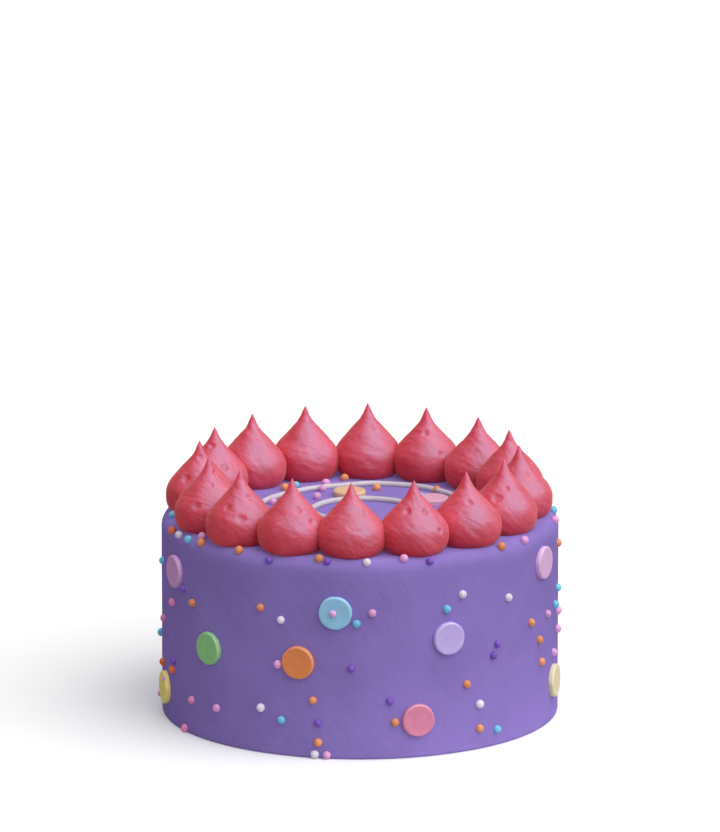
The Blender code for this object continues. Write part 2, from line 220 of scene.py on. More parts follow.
class Value:
    """What a socket gives. A sum with it adds the Math or Vector Math node that works it out."""

    def __init__(self, nodes, socket):
        self.nodes = nodes
        self.socket = socket

    def __add__(self, other):
        return self.nodes.sum("ADD", self, other)

    def __radd__(self, other):
        return self.nodes.sum("ADD", other, self)

    def __sub__(self, other):
        return self.nodes.sum("SUBTRACT", self, other)

    def __rsub__(self, other):
        return self.nodes.sum("SUBTRACT", other, self)

    def __mul__(self, other):
        return self.nodes.sum("MULTIPLY", self, other)

    def __rmul__(self, other):
        return self.nodes.sum("MULTIPLY", other, self)

    def __truediv__(self, other):
        return self.nodes.sum("DIVIDE", self, other)

    def __rtruediv__(self, other):
        return self.nodes.sum("DIVIDE", other, self)

    def other(self, name):
        """Another output of the same node."""
        return Value(self.nodes, found(self.socket.node.outputs, name))


def found(sockets, name):
    """The socket of this number, or the one in use of this name."""
    if isinstance(name, int):
        return sockets[name]
    return next(socket for socket in sockets if socket.name == name and socket.enabled)


class Nodes:
    """Adds nodes to a tree of either kind."""

    def __init__(self, tree):
        self.tree = tree

    def add(self, kind, settings=None, values=None):
        """The first output of a new node, which gets its SETTINGS, then its sockets' VALUES or links."""
        node = self.tree.nodes.new(kind)
        for name, setting in (settings or {}).items():
            if name == "curve":
                self.set_curve(node.mapping, setting)
            else:
                setattr(node, name, setting)
        for name, value in (values or {}).items():
            socket = found(node.inputs, name)
            if isinstance(value, Value):
                self.tree.links.new(value.socket, socket)
            else:
                socket.default_value = value
        return Value(self, next(socket for socket in node.outputs if socket.enabled))

    @staticmethod
    def set_curve(mapping, points):
        line = mapping.curves[0].points
        while len(line) < len(points):
            line.new(0.5, 0.5)
        for point, (x, y) in zip(line, points):
            point.location = (x, y)
        mapping.update()

    def sum(self, operation, a, b):
        if not (is_vector(a) or is_vector(b)):
            return self.math(operation, a, b)
        if operation == "MULTIPLY" and not (is_vector(a) and is_vector(b)):
            vector, number = (a, b) if is_vector(a) else (b, a)
            return self.vector("SCALE", vector, Scale=number)
        return self.vector(operation, a, b)

    def math(self, operation, *values):
        return self.add("ShaderNodeMath", {"operation": operation}, dict(enumerate(values)))

    def vector(self, operation, *values, **named):
        sockets = {**dict(enumerate(values)), **named}
        return self.add("ShaderNodeVectorMath", {"operation": operation}, sockets)

    def dot(self, a, b):
        return self.vector("DOT_PRODUCT", a, b).other("Value")

    def length(self, a):
        return self.vector("LENGTH", a).other("Value")

    def least(self, a, b):
        return self.math("MINIMUM", a, b)

    def most(self, a, b):
        return self.math("MAXIMUM", a, b)

    def xyz(self, x, y, z):
        return self.add("ShaderNodeCombineXYZ", values={"X": x, "Y": y, "Z": z})

    def parts(self, vector):
        x = self.add("ShaderNodeSeparateXYZ", values={"Vector": vector})
        return x, x.other("Y"), x.other("Z")

    def ranged(self, value, start, end, low=0.0, high=1.0, shape="LINEAR"):
        """VALUE, from START to END, moved to run from LOW to HIGH and held there beyond."""
        ends = {"From Min": start, "From Max": end, "To Min": low, "To Max": high}
        return self.add("ShaderNodeMapRange", {"interpolation_type": shape}, {"Value": value, **ends})

    def eased(self, value, start, end, low=0.0, high=1.0):
        return self.ranged(value, start, end, low, high, "SMOOTHSTEP")

    def noise(self, place, scale, detail=2.0, roughness=0.5, stretch=None):
        """Noise from 0 to 1 at PLACE, with SCALE swells to a metre, times STRETCH each way."""
        if stretch:
            place = self.vector("MULTIPLY", place, stretch)
        return self.add("ShaderNodeTexNoise", values={
            "Vector": place, "Scale": scale, "Detail": detail, "Roughness": roughness,
        })

    def mixed(self, share, a, b):
        """Colour A, with SHARE of colour B."""
        colours = {"A": a if isinstance(a, Value) else (*a, 1), "B": b if isinstance(b, Value) else (*b, 1)}
        return self.add("ShaderNodeMix", {"data_type": "RGBA"}, {"Factor": share, **colours})


# Materials

class Finish(Nodes):
    """A material with one Principled shader."""

    def __init__(self, name, **constants):
        self.material = bpy.data.materials.new(name)
        self.material.use_nodes = True
        super().__init__(self.material.node_tree)
        self.shader = self.tree.nodes["Principled BSDF"]
        for name, value in constants.items():
            self.shader.inputs[name.replace("_", " ")].default_value = value

    def place(self):
        return self.add("ShaderNodeTexCoord").other("Object")

    def stored(self, name):
        """A number or vector that the piece's mesh carries at each point."""
        return self.add("ShaderNodeAttribute", {"attribute_name": name})

    def wear(self, **surface):
        """Links what changes over the surface to the shader."""
        for name, value in surface.items():
            self.tree.links.new(value.socket, self.shader.inputs[name.replace("_", " ")])

    def relief(self, height, depth, under=None):
        """The surface's direction where HEIGHT, from 0 to 1, stands up to DEPTH metres."""
        values = {"Height": height, "Strength": 1.0, "Distance": depth}
        if under:
            values["Normal"] = under
        return self.add("ShaderNodeBump", values=values)


def icing_finish():
    """Smooth violet icing. Only its wall has the faint slanting strokes of a scraper."""
    m = Finish("violet_icing", Specular_IOR_Level=0.0)
    place = m.place()
    wall = m.stored("wall").other("Fac")
    cloud = m.noise(place, 28, 3)
    x, y, z = m.parts(place)
    slanted = m.xyz(x + 0.6 * z, y, z - 0.6 * x)
    strokes = m.noise(slanted, 160, 4, 0.6, stretch=(1, 1, 0.3))
    grain = m.noise(place, 900, 2)
    deep = tuple(c * 0.95 for c in ICING)
    pale = tuple(c * 1.05 for c in ICING)
    colour = m.mixed(m.eased(cloud, 0.35, 0.65), deep, pale)
    normal = m.relief(strokes * wall, 0.5 * MM)
    normal = m.relief(grain * (0.3 + 0.7 * wall), 0.03 * MM, normal)
    m.wear(Base_Color=colour, Roughness=0.56 + 0.1 * cloud, Normal=normal)
    return m.material


def kiss_finish():
    """Satin coral icing, drawn into fine strands that run round the kiss on a slant."""
    m = Finish(
        "coral_kiss_icing",
        Subsurface_Weight=1.0, Subsurface_Scale=8 * MM, Subsurface_Radius=(1.0, 0.15, 0.12),
        Specular_IOR_Level=0.55, Specular_Tint=(0.0, 0.64, 1.0, 1.0),
        Sheen_Weight=0.25, Sheen_Roughness=0.4, Sheen_Tint=(1.0, 0.5, 0.2, 1.0),
    )
    grain = m.stored("grain").other("Vector")
    strands = m.noise(grain, 700, 3, 0.5, stretch=(0.14, 0.14, 1))
    patches = m.eased(m.noise(grain, 110, 1), 0.44, 0.6)
    smears = m.noise(grain, 380, 3, 0.6, stretch=(0.5, 0.5, 1))
    cloud = m.noise(grain, 90, 2)
    deep = (KISS_PINK[0] * 0.94, KISS_PINK[1] * 0.75, KISS_PINK[2] * 0.78)
    pale = (KISS_PINK[0] * 1.04, KISS_PINK[1] * 1.3, KISS_PINK[2] * 1.3)
    colour = m.mixed(m.eased(cloud * 0.7 + strands * 0.3, 0.35, 0.65), deep, pale)
    normal = m.relief(smears, 0.32 * MM)
    normal = m.relief(strands * (0.1 + 0.9 * patches), 0.3 * MM, normal)
    m.wear(Base_Color=colour, Roughness=0.58 + 0.1 * cloud, Normal=normal)
    return m.material


def sugar_finish(name, colour):
    """Dry sugar paste, a little uneven, and paler along its edge: a painted highlight."""
    m = Finish("sugar_paste_" + name, Specular_IOR_Level=0.25)
    place = m.place()
    edge = m.stored("edge").other("Fac")
    mottle = m.noise(place, 260, 3, 0.6)
    grain = m.noise(place, 1800, 2)
    deep = tuple(c * 0.96 for c in colour)
    pale = tuple(min(c * 1.04, 0.95) for c in colour)
    # Paler towards white along the rounded edge, where light catches it: painted highlight.
    edge_highlight = tuple(c + (0.95 - c) * 0.22 for c in colour)
    body = m.mixed(m.eased(mottle, 0.35, 0.65), deep, pale)
    normal = m.relief(mottle, 0.06 * MM)
    normal = m.relief(grain, 0.03 * MM, normal)
    m.wear(Base_Color=m.mixed(edge * 0.4, body, edge_highlight), Roughness=0.52 + 0.16 * mottle, Normal=normal)
    return m.material


def pearl_finish(name, colour):
    """A satin sugar pearl. Each is a little lighter or darker than the next."""
    m = Finish("sugar_pearl_" + name, Specular_IOR_Level=0.06)
    tone = m.stored("tone").other("Fac")
    speckle = m.noise(m.place(), 1400, 2)
    deep = tuple(c * 0.84 for c in colour)
    pale = tuple(min(c * 1.12 + 0.02, 0.92) for c in colour)
    share = tone * 0.7 + speckle * 0.3
    m.wear(
        Base_Color=m.mixed(share, deep, pale),
        Roughness=0.42 + 0.16 * speckle,
        Normal=m.relief(speckle, 0.05 * MM),
    )
    return m.material


def piped_finish():
    """Pale, finely granular icing of the piped line."""
    m = Finish("pale_piped_icing", Specular_IOR_Level=0.2)
    place = m.place()
    grain = m.noise(place, 900, 3, 0.6)
    cloud = m.noise(place, 120, 2)
    deep = tuple(c * 0.9 for c in PIPED_WHITE)
    pale = tuple(min(c * 1.08, 0.9) for c in PIPED_WHITE)
    m.wear(
        Base_Color=m.mixed(grain * 0.6 + cloud * 0.4, deep, pale),
        Roughness=0.55 + 0.15 * grain,
        Normal=m.relief(grain, 0.2 * MM),
    )
    return m.material


def floor_finish():
    m = Finish("pale_floor", Roughness=0.8)
    cloud = m.noise(m.place(), 3, 2)
    m.wear(Base_Color=m.mixed(cloud, (0.93, 0.93, 0.93), (0.95, 0.95, 0.95)))
    return m.material


# Geometry recipes

SOCKETS = {
    "number": "NodeSocketFloat", "vector": "NodeSocketVector", "count": "NodeSocketInt",
    "material": "NodeSocketMaterial",
}


class Recipe(Nodes):
    """A Geometry Nodes tree with named inputs, which makes a piece from a base mesh."""

    def __init__(self, name, inputs):
        super().__init__(bpy.data.node_groups.new(name, "GeometryNodeTree"))
        self.tree.is_modifier = True
        face = self.tree.interface
        face.new_socket("Geometry", in_out="INPUT", socket_type="NodeSocketGeometry")
        face.new_socket("Geometry", in_out="OUTPUT", socket_type="NodeSocketGeometry")
        self.identifiers = {}
        for title, kind in {**inputs, "Material": "material"}.items():
            socket = face.new_socket(title, in_out="INPUT", socket_type=SOCKETS[kind])
            self.identifiers[title] = socket.identifier
        self.inlet = self.tree.nodes.new("NodeGroupInput")
        self.outlet = self.tree.nodes.new("NodeGroupOutput")

    def given(self, name):
        return Value(self, self.inlet.outputs[name])

    def position(self):
        return self.add("GeometryNodeInputPosition")

    def moved(self, geometry, place):
        return self.add("GeometryNodeSetPosition", values={"Geometry": geometry, "Position": place})

    def shifted(self, geometry, offset):
        return self.add("GeometryNodeSetPosition", values={"Geometry": geometry, "Offset": offset})

    def carrying(self, geometry, name, value, kind="FLOAT", domain="POINT"):
        """GEOMETRY with VALUE kept on it under this NAME, for its material."""
        settings = {"data_type": kind, "domain": domain}
        values = {"Geometry": geometry, "Name": name, "Value": value}
        return self.add("GeometryNodeStoreNamedAttribute", settings, values)

    def sheet(self, around, along):
        """A grid to be turned about Z: the mesh, each point's angle, and how far along the outline it is."""
        grid = self.add("GeometryNodeMeshGrid", values={
            "Size X": 1.0, "Size Y": 1.0, "Vertices X": around + 1, "Vertices Y": along + 1,
        })
        x, y, _ = self.parts(self.position())
        kept = self.carrying(grid, "angle", (x + 0.5) * TAU)
        kept = self.carrying(kept, "along", y + 0.5)
        return kept, self.kept("angle"), self.kept("along")

    def kept(self, name):
        return self.add("GeometryNodeInputNamedAttribute", {"data_type": "FLOAT"}, {"Name": name})

    def ring(self, angle):
        """The direction straight out from the axis at this ANGLE."""
        return self.xyz(self.math("COSINE", angle), self.math("SINE", angle), 0.0)

    def closed(self, geometry):
        """A turned sheet with its seam and its poles closed, and the names used to make it gone."""
        merged = self.add("GeometryNodeMergeByDistance", values={"Geometry": geometry, "Distance": SEAM})
        for name in ("angle", "along"):
            merged = self.add("GeometryNodeRemoveAttribute", values={"Geometry": merged, "Name": name})
        return merged

    def ends(self, geometry):
        """Finishes the tree."""
        smooth = self.add("GeometryNodeSetShadeSmooth", values={"Geometry": geometry, "Shade Smooth": True})
        real = self.add("GeometryNodeRealizeInstances", values={"Geometry": smooth})
        values = {"Geometry": real, "Material": self.given("Material")}
        dressed = self.add("GeometryNodeSetMaterial", values=values)
        self.tree.links.new(dressed.socket, self.outlet.inputs["Geometry"])
        return self

    def make(self, name, base, **inputs):
        """A plain piece called NAME made by this recipe from the mesh BASE."""
        piece = bpy.data.objects.new(name, base)
        bpy.context.scene.collection.objects.link(piece)
        modifier = piece.modifiers.new("Recipe", "NODES")
        modifier.node_group = self.tree
        for title, value in inputs.items():
            modifier[self.identifiers[title.replace("_", " ")]] = value
        bpy.context.view_layer.update()
        graph = bpy.context.evaluated_depsgraph_get()
        whole = piece.evaluated_get(graph)
        mesh = bpy.data.meshes.new_from_object(whole, preserve_all_data_layers=True, depsgraph=graph)
        piece.modifiers.clear()
        piece.data = mesh
        mesh.name = name
        bpy.data.meshes.remove(base)
        return piece


def icing_recipe():
    """The iced body, turned from the formula of its outline, with a hand's unevenness."""
    r = Recipe("iced_body", {
        "Radius": "number", "Height": "number", "Rim Round": "number", "Foot Round": "number",
        "Unevenness": "number", "Seed": "count",
    })
    radius, height, rim, foot = (r.given(name) for name in ("Radius", "Height", "Rim Round", "Foot Round"))
    sheet, angle, along = r.sheet(around=256, along=220)
    wall_top = height - rim
    flat = radius - rim
    underside = 0.03  # the share of the outline's points that are on it
    inwards = r.ranged(along, 0.0, underside, foot - radius, 0.0)
    climb = inwards + r.ranged(along, underside, 1.0, 0.0, AXIS_CLIMB)
    lean = r.least(r.most((climb - wall_top) / rim, 0.0), math.pi / 2)
    past_rim = r.most(climb - wall_top - rim * (math.pi / 2), 0.0)
    tucked = r.most(1.0 - r.most(climb, 0.0) / foot, 0.0)
    reach = flat + rim * r.math("COSINE", lean) - past_rim - foot * tucked * tucked + r.least(climb, 0.0)
    level = r.least(r.most(climb, 0.0), wall_top) + rim * r.math("SINE", lean)
    out = r.ring(angle)
    normal = out * r.math("COSINE", lean) + r.math("SINE", lean) * UP
    body = r.moved(sheet, out * reach + level * UP)
    swells = r.noise(r.position() + r.given("Seed") * Vector((1, 1, 1)), 22, 2)
    above_foot = r.eased(climb, 2 * MM, 12 * MM)
    body = r.shifted(body, normal * ((swells - 0.5) * r.given("Unevenness") * above_foot))
    wall = r.eased(climb, WALL_TOP - 4 * MM, WALL_TOP + 2 * MM, 1.0, 0.0)
    return r.ends(r.closed(r.carrying(body, "wall", wall)))


def kiss_recipe():
    """One kiss: a turned drop with slanting strands and dents, pressed flat against the next ones.

    Its base mesh has a point at the middle of each dent, which carries the dent's radius.
    """
    r = Recipe("piped_kiss", {
        "Height": "number", "Middle": "vector", "Lean": "vector", "Phase 1": "number", "Phase 2": "number",
        "Left Neighbour": "vector", "Right Neighbour": "vector", "Strand Axis": "vector",
        "Strand Depth": "number", "Seed": "count",
    })
    height, middle = r.given("Height"), r.given("Middle")
    sheet, angle, along = r.sheet(around=176, along=116)
    underside = 0.06  # the share of the outline's points that are on it
    share = r.ranged(along, underside, 1.0)
    foot = r.ranged(along, 0.0, underside)
    curve = [(x, y * MM / KISS_WIDEST) for x, y in KISS_OUTLINE]
    radius = r.add("ShaderNodeFloatCurve", {"curve": curve}, {"Value": share}) * KISS_WIDEST * foot
    oval = r.math("SINE", angle * 2.0 + r.given("Phase 1"))
    lobes = r.math("SINE", angle * 3.0 + r.given("Phase 2"))
    swell = 1.0 + KISS_UNEVEN * (oval + 0.5 * lobes)
    level = share * height
    drop = r.moved(sheet, r.ring(angle) * (radius * swell) + level * UP)

    x, y, _ = r.parts(r.position())
    slant = r.dot(r.position(), r.given("Strand Axis"))
    grain = r.xyz(x + r.given("Seed") * 0.5, y, slant)
    drop = r.carrying(drop, "grain", grain, "FLOAT_VECTOR")
    grain = r.add("GeometryNodeInputNamedAttribute", {"data_type": "FLOAT_VECTOR"}, {"Name": "grain"})
    strands = r.noise(grain, 420, 2, 0.5, stretch=(0.16, 0.16, 1))
    patches = r.eased(r.noise(grain, 90, 1), 0.46, 0.6)
    folds = r.noise(grain, 150, 2, 0.5, stretch=(0.7, 0.7, 1))
    clear = r.eased(share, 0.0, 0.2) * r.eased(share, 1.0, 0.8)
    ridge = (strands - 0.5) * (0.15 + 0.85 * patches) + (folds - 0.5) * FOLDS_PER_STRAND
    ridge = ridge * r.given("Strand Depth") * clear

    dents = r.given("Geometry")
    nearest = r.add("GeometryNodeSampleNearest", {"domain": "POINT"}, {"Geometry": dents})
    size = r.add("GeometryNodeSampleIndex", {"data_type": "FLOAT", "domain": "POINT"}, {
        "Geometry": dents, "Value": r.kept("size"), "Index": nearest,
    })
    away = r.add("GeometryNodeProximity", {"target_element": "POINTS"}, {"Geometry": dents}).other("Distance")
    wander = (r.noise(grain, 200, 1) - 0.5) * DENT_WANDER
    apart = (away + wander) / size
    bowl = r.eased(apart, 0.1, 1.1, 1.0, 0.0)
    pushed = bowl * size * -DENT_DEPTH
    normal = r.add("GeometryNodeInputNormal")
    drop = r.shifted(drop, normal * (ridge + pushed))

    place = middle + r.position() + r.given("Lean") * (share * share)
    for side in ("Left Neighbour", "Right Neighbour"):
        across = r.given(side) - middle
        way = r.vector("NORMALIZE", across)
        past = r.dot(place - middle, way) - r.length(across) * 0.5 + KISS_PARTING
        place = place - way * r.most(past, 0.0)
    reach = r.length(r.vector("MULTIPLY", place, (1, 1, 0)))
    over = r.least(r.most(reach - FLAT_RADIUS, 0.0), RIM_STEEPEST)
    fall = RIM_ROUND - r.math("SQRT", RIM_ROUND**2 - over * over)
    droop = fall * KISS_DROOP * r.most(1.0 - level / KISS_DROOP_HEIGHT, 0.0)
    place = place + (CAKE_HEIGHT - KISS_SUNK - droop) * UP
    return r.ends(r.closed(r.moved(drop, place)))


def pearl_recipe():
    """A pearl on each point of the base mesh. A point carries the size of its pearl."""
    r = Recipe("sugar_pearls", {"Radius": "number", "Spread": "number", "Seed": "count"})
    ball = r.add("GeometryNodeMeshIcoSphere", values={"Radius": r.given("Radius"), "Subdivisions": 3})
    ball = r.add("GeometryNodeSetShadeSmooth", values={"Geometry": ball, "Shade Smooth": True})
    seed, spread = r.given("Seed"), r.given("Spread")
    scale = r.add("FunctionNodeRandomValue", {"data_type": "FLOAT"}, {
        "Min": 1.0 - spread, "Max": 1.0 + spread, "Seed": seed,
    })
    turn = r.add("FunctionNodeRandomValue", {"data_type": "FLOAT_VECTOR"}, {
        "Max": (TAU, TAU, TAU), "Seed": seed,
    })
    # Another seed, so that a pearl's tone doesn't follow its size.
    tone = r.add("FunctionNodeRandomValue", {"data_type": "FLOAT"}, {"Seed": seed + 7.0})
    points = r.add("GeometryNodeMeshToPoints", values={"Mesh": r.given("Geometry")})
    whole = scale * r.kept("size") * Vector((1, 1, 1))
    placed = r.add("GeometryNodeInstanceOnPoints", values={
        "Points": points, "Instance": ball, "Rotation": turn, "Scale": whole,
    })
    return r.ends(r.carrying(placed, "tone", tone, domain="INSTANCE"))


def line_recipe():
    """A line of icing piped along the edges of the base mesh."""
    r = Recipe("piped_line", {"Radius": "number", "Wobble": "number"})
    path = r.add("GeometryNodeMeshToCurve", values={"Mesh": r.given("Geometry")})
    path = r.add("GeometryNodeResampleCurve", {"mode": "LENGTH"}, {"Curve": path, "Length": LINE_STEP})
    place = r.position()
    drift = r.add("ShaderNodeTexNoise", values={"Vector": place, "Scale": 70.0, "Detail": 1.0}).other("Color")
    shift = r.vector("MULTIPLY", drift - Vector((0.5, 0.5, 0.5)), (1, 1, 0.25))
    path = r.shifted(path, shift * r.given("Wobble"))
    length = r.add("GeometryNodeSplineParameter").other("Length")
    whole = r.add("GeometryNodeSplineLength")
    from_end = r.least(length, whole - length) / r.given("Radius")
    rounding = r.math("SQRT", r.most(1.0 - r.math("POWER", 1.0 - r.least(from_end, 1.0), 2.0), 0.0009))
    lumps = 1.0 + 0.22 * (r.noise(place, 260, 2) - 0.5)
    tube = r.add("GeometryNodeCurvePrimitiveCircle", values={"Resolution": 20, "Radius": r.given("Radius")})
    piped = r.add("GeometryNodeCurveToMesh", values={
        "Curve": path, "Profile Curve": tube, "Scale": rounding * lumps, "Fill Caps": True,
    })
    rough = r.noise(r.position(), 700, 2) - 0.5
    piped = r.shifted(piped, r.add("GeometryNodeInputNormal") * (rough * LINE_ROUGH))
    return r.ends(piped)


def disc_recipe():
    """A sugar disc with a rounded edge, lying flat with its back at its place, turned about X and then Z."""
    r = Recipe("sugar_disc", {
        "Radius": "number", "Thickness": "number", "Edge": "number", "Place": "vector", "Turn": "vector",
        "Unevenness": "number",
    })
    radius, thickness, edge = r.given("Radius"), r.given("Thickness"), r.given("Edge")
    sheet, angle, along = r.sheet(around=96, along=44)
    back_ends, wall_ends, bend_ends = 0.1, 0.2, 0.55  # where along the outline
    back = r.ranged(along, 0.0, back_ends)
    wall = r.ranged(along, back_ends, wall_ends)
    bend = r.ranged(along, wall_ends, bend_ends, 0.0, math.pi / 2)
    inner = radius - edge
    face = r.ranged(along, bend_ends, 1.0)
    reach = (inner + edge * r.math("COSINE", bend)) * back - inner * face
    dish = DISC_DISH * r.eased(face, 0.0, 0.5)
    level = (thickness - edge) * wall + edge * r.math("SINE", bend) - dish
    disc = r.moved(sheet, r.ring(angle) * reach + level * UP)
    swells = r.noise(r.position() + r.given("Place"), 160, 2) - 0.5
    swells = r.vector("MULTIPLY", r.add("GeometryNodeInputNormal") * swells, (1.5, 1.5, 0.3))
    disc = r.shifted(disc, swells * r.given("Unevenness"))
    # The rounded edge, which the paste's painted highlight follows.
    disc = r.carrying(disc, "edge", r.eased(bend, 1.45, 0.9) * wall)
    placed = r.add("GeometryNodeTransform", values={
        "Geometry": r.closed(disc), "Translation": r.given("Place"), "Rotation": r.given("Turn"),
    })
    return r.ends(placed)


# Places on the cake

def through(points, x):
    """The height at X of a smooth curve through POINTS, which are (x, y) pairs in order of x."""
    last = len(points) - 1
    at = min(max(sum(px <= x for px, _ in points) - 1, 0), last - 1)

    def slope(i):
        before, after = points[max(i - 1, 0)], points[min(i + 1, last)]
        return (after[1] - before[1]) / (after[0] - before[0])

    (x0, y0), (x1, y1) = points[at], points[at + 1]
    width = x1 - x0
    t = (x - x0) / width
    rise = y0 * (1 + 2 * t) * (1 - t) ** 2 + y1 * t * t * (3 - 2 * t)
    return rise + width * (slope(at) * t * (1 - t) ** 2 - slope(at + 1) * t * t * (1 - t))


def outwards(azimuth):
    """The level direction from the axis towards this azimuth."""
    angle = math.radians(azimuth)
    return Vector((math.sin(angle), -math.cos(angle), 0))


def on_icing(azimuth, climb, lift=0.0):
    """The place LIFT above the icing, the direction straight out of it, and how far that leans from level."""
    if climb <= WALL_TOP:
        lean, reach, height = 0.0, CAKE_RADIUS, climb
    elif climb <= WALL_TOP + RIM_LENGTH:
        lean = (climb - WALL_TOP) / RIM_ROUND
        reach = FLAT_RADIUS + RIM_ROUND * math.cos(lean)
        height = WALL_TOP + RIM_ROUND * math.sin(lean)
    else:
        lean, reach, height = math.pi / 2, AXIS_CLIMB - climb, CAKE_HEIGHT
    side = outwards(azimuth)
    normal = side * math.cos(lean) + UP * math.sin(lean)
    return side * reach + UP * height + normal * lift, normal, lean


def rim_drop(reach):
    """How far the icing is below the flat top at this distance from the axis."""
    past = min(max(reach - FLAT_RADIUS, 0), RIM_STEEPEST)
    return RIM_ROUND - math.sqrt(RIM_ROUND**2 - past**2)


def kiss_middles():
    return [outwards(azimuth) * reach * MM for azimuth, reach, _ in KISSES]


def kiss_radius(share):
    """The radius of a kiss at this share of its height."""
    return through(KISS_OUTLINE, share) * MM


def clear_of_kisses(ball, radius):
    """Whether a ball at BALL stays clear of the foot and belly of every kiss."""
    level = Vector((ball.x, ball.y, 0))
    for middle, (_, _, tall) in zip(kiss_middles(), KISSES):
        away = (level - middle).normalized()
        for share in KISS_FOOT_LEVELS:
            side = middle + away * kiss_radius(share) * (1 + 2 * KISS_UNEVEN)
            height = share * tall * MM
            droop = KISS_DROOP * rim_drop(side.xy.length) * max(0, 1 - height / KISS_DROOP_HEIGHT)
            if (side + UP * (CAKE_HEIGHT + GAP + height - droop) - ball).length < radius + GAP:
                return False
    return True


def spread(count, tries, draw, allowed, taken):
    """COUNT more places: each is the farthest from all TAKEN of a few that DRAW gives and ALLOWED passes."""
    made = []
    while len(made) < count:
        drawn = [place for place in (draw() for _ in range(tries)) if allowed(on_icing(*place)[0])]
        if drawn:
            best = max(drawn, key=lambda place: min((on_icing(*place)[0] - other).length for other in taken))
            taken.append(on_icing(*best)[0])
            made.append(best)
    return made


def behind_front_kiss(place):
    """Whether a place on the top is hidden by a kiss from the front."""
    front = [middle for middle in kiss_middles() if middle.y < -FLAT_RADIUS / 2]
    return place.y < -HIDING_DEPTH and any(abs(place.x - middle.x) < HIDING_WIDTH for middle in front)


def hidden_toppings():
    """The discs and pearls on the sides that don't show, each as its azimuth and climb, spread evenly."""
    dice = random.Random(SEED)
    rough = PEARL_ROUGH_RADIUS
    discs = [on_icing(azimuth, climb * MM)[0] for azimuth, climb, _ in SEEN_DISCS]
    pearls = [on_icing(azimuth, climb * MM)[0] for row in SEEN_PEARLS.values() for azimuth, climb in row]

    def beside_discs(place):
        return all((place - disc).length > DISC_RADIUS + 2 * rough for disc in discs)

    def disc_place():
        return dice.uniform(*HIDDEN_SIDE), dice.uniform(2, 10.5) * DISC_RADIUS

    def wall_place():
        return dice.uniform(*HIDDEN_SIDE), dice.uniform(rough, CAKE_HEIGHT)

    def top_place():
        return dice.uniform(-70, 70), AXIS_CLIMB - dice.uniform(HIDING_DEPTH, 5 * HIDING_DEPTH)

    new_discs = spread(HIDDEN_DISCS, 40, disc_place, lambda place: True, discs)
    new_pearls = spread(HIDDEN_WALL_PEARLS, 5, wall_place, beside_discs, pearls)
    new_pearls += spread(HIDDEN_TOP_PEARLS, 20, top_place, behind_front_kiss, pearls)
    return new_discs, new_pearls


# Pieces

def points_mesh(name, points, sizes=(), edges=()):
    """The start of a piece: points that may carry a size each, or be joined by edges."""
    mesh = bpy.data.meshes.new(name)
    mesh.from_pydata([tuple(point) for point in points], list(edges), [])
    if sizes:
        mesh.attributes.new("size", "FLOAT", "POINT").data.foreach_set("value", list(sizes))
    return mesh


def finished(piece, slot, *nodes):
    """PIECE rides on the cake's body and stands for these CAD nodes."""
    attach(piece, "root")
    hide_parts(*nodes)


def iced_body():
    piece = icing_recipe().make(
        "iced_body", points_mesh("start", [(0, 0, 0)]),
        Radius=CAKE_RADIUS, Height=CAKE_HEIGHT, Rim_Round=RIM_ROUND, Foot_Round=FOOT_ROUND,
        Unevenness=0.5 * MM, Seed=SEED, Material=icing_finish(),
    )
    finished(piece, "icing", "cake")


def dent_places(index):
    """Where the dents of a kiss are on its plain outline, and their radii."""
    tall = KISSES[index][2] * MM
    places = []
    for turn, share, _ in DENTS[index]:
        places.append(outwards(turn) * kiss_radius(share) + UP * (share * tall))
    return places, [radius * MM for _, _, radius in DENTS[index]]


def piped_kisses():
    recipe, finish = kiss_recipe(), kiss_finish()
    middles = kiss_middles()
    dice = random.Random(SEED)
    slants = random.Random(SEED + 1)
    for index, middle in enumerate(middles):
        lean = [dice.uniform(-KISS_LEAN, KISS_LEAN) for _ in range(2)] + [0.0]
        phases = [dice.uniform(0, TAU) for _ in range(2)]
        tilt, way = slants.uniform(0.4, 0.8), math.radians(slants.uniform(100, 150))
        axis = Vector((math.sin(way) * tilt, -math.cos(way) * tilt, 1)).normalized()
        piece = recipe.make(
            f"piped_kiss_{index + 1:02d}", points_mesh("dents", *dent_places(index)),
            Height=KISSES[index][2] * MM + KISS_TIP, Middle=tuple(middle), Lean=lean,
            Phase_1=phases[0], Phase_2=phases[1], Left_Neighbour=tuple(middles[index - 1]),
            Right_Neighbour=tuple(middles[(index + 1) % len(middles)]), Strand_Axis=tuple(axis),
            Strand_Depth=STRAND_DEPTH, Seed=index + 1, Material=finish,
        )
        finished(piece, "kiss_icing", f"kiss_{index + 1:02d}")


def sugar_discs(discs):
    recipe = disc_recipe()
    finishes = {name: sugar_finish(name, colour) for name, colour in DISC_COLOURS.items()}
    for number, (azimuth, climb, colour) in enumerate(discs, 1):
        place, _, lean = on_icing(azimuth, climb, -DISC_SUNK)
        stands = DISC_LYING if lean > 0 else DISC_PRESSED
        piece = recipe.make(
            f"sugar_disc_{number:02d}", points_mesh("start", [(0, 0, 0)]),
            Radius=DISC_RADIUS, Thickness=stands + GAP + DISC_SUNK, Edge=DISC_EDGE, Place=tuple(place),
            Turn=(math.pi / 2 - lean, 0.0, math.radians(azimuth)), Unevenness=0.5 * MM,
            Material=finishes[DISC_TINTS.get(number, colour)],
        )
        finished(piece, "sugar_" + colour, f"disc_{number:02d}")


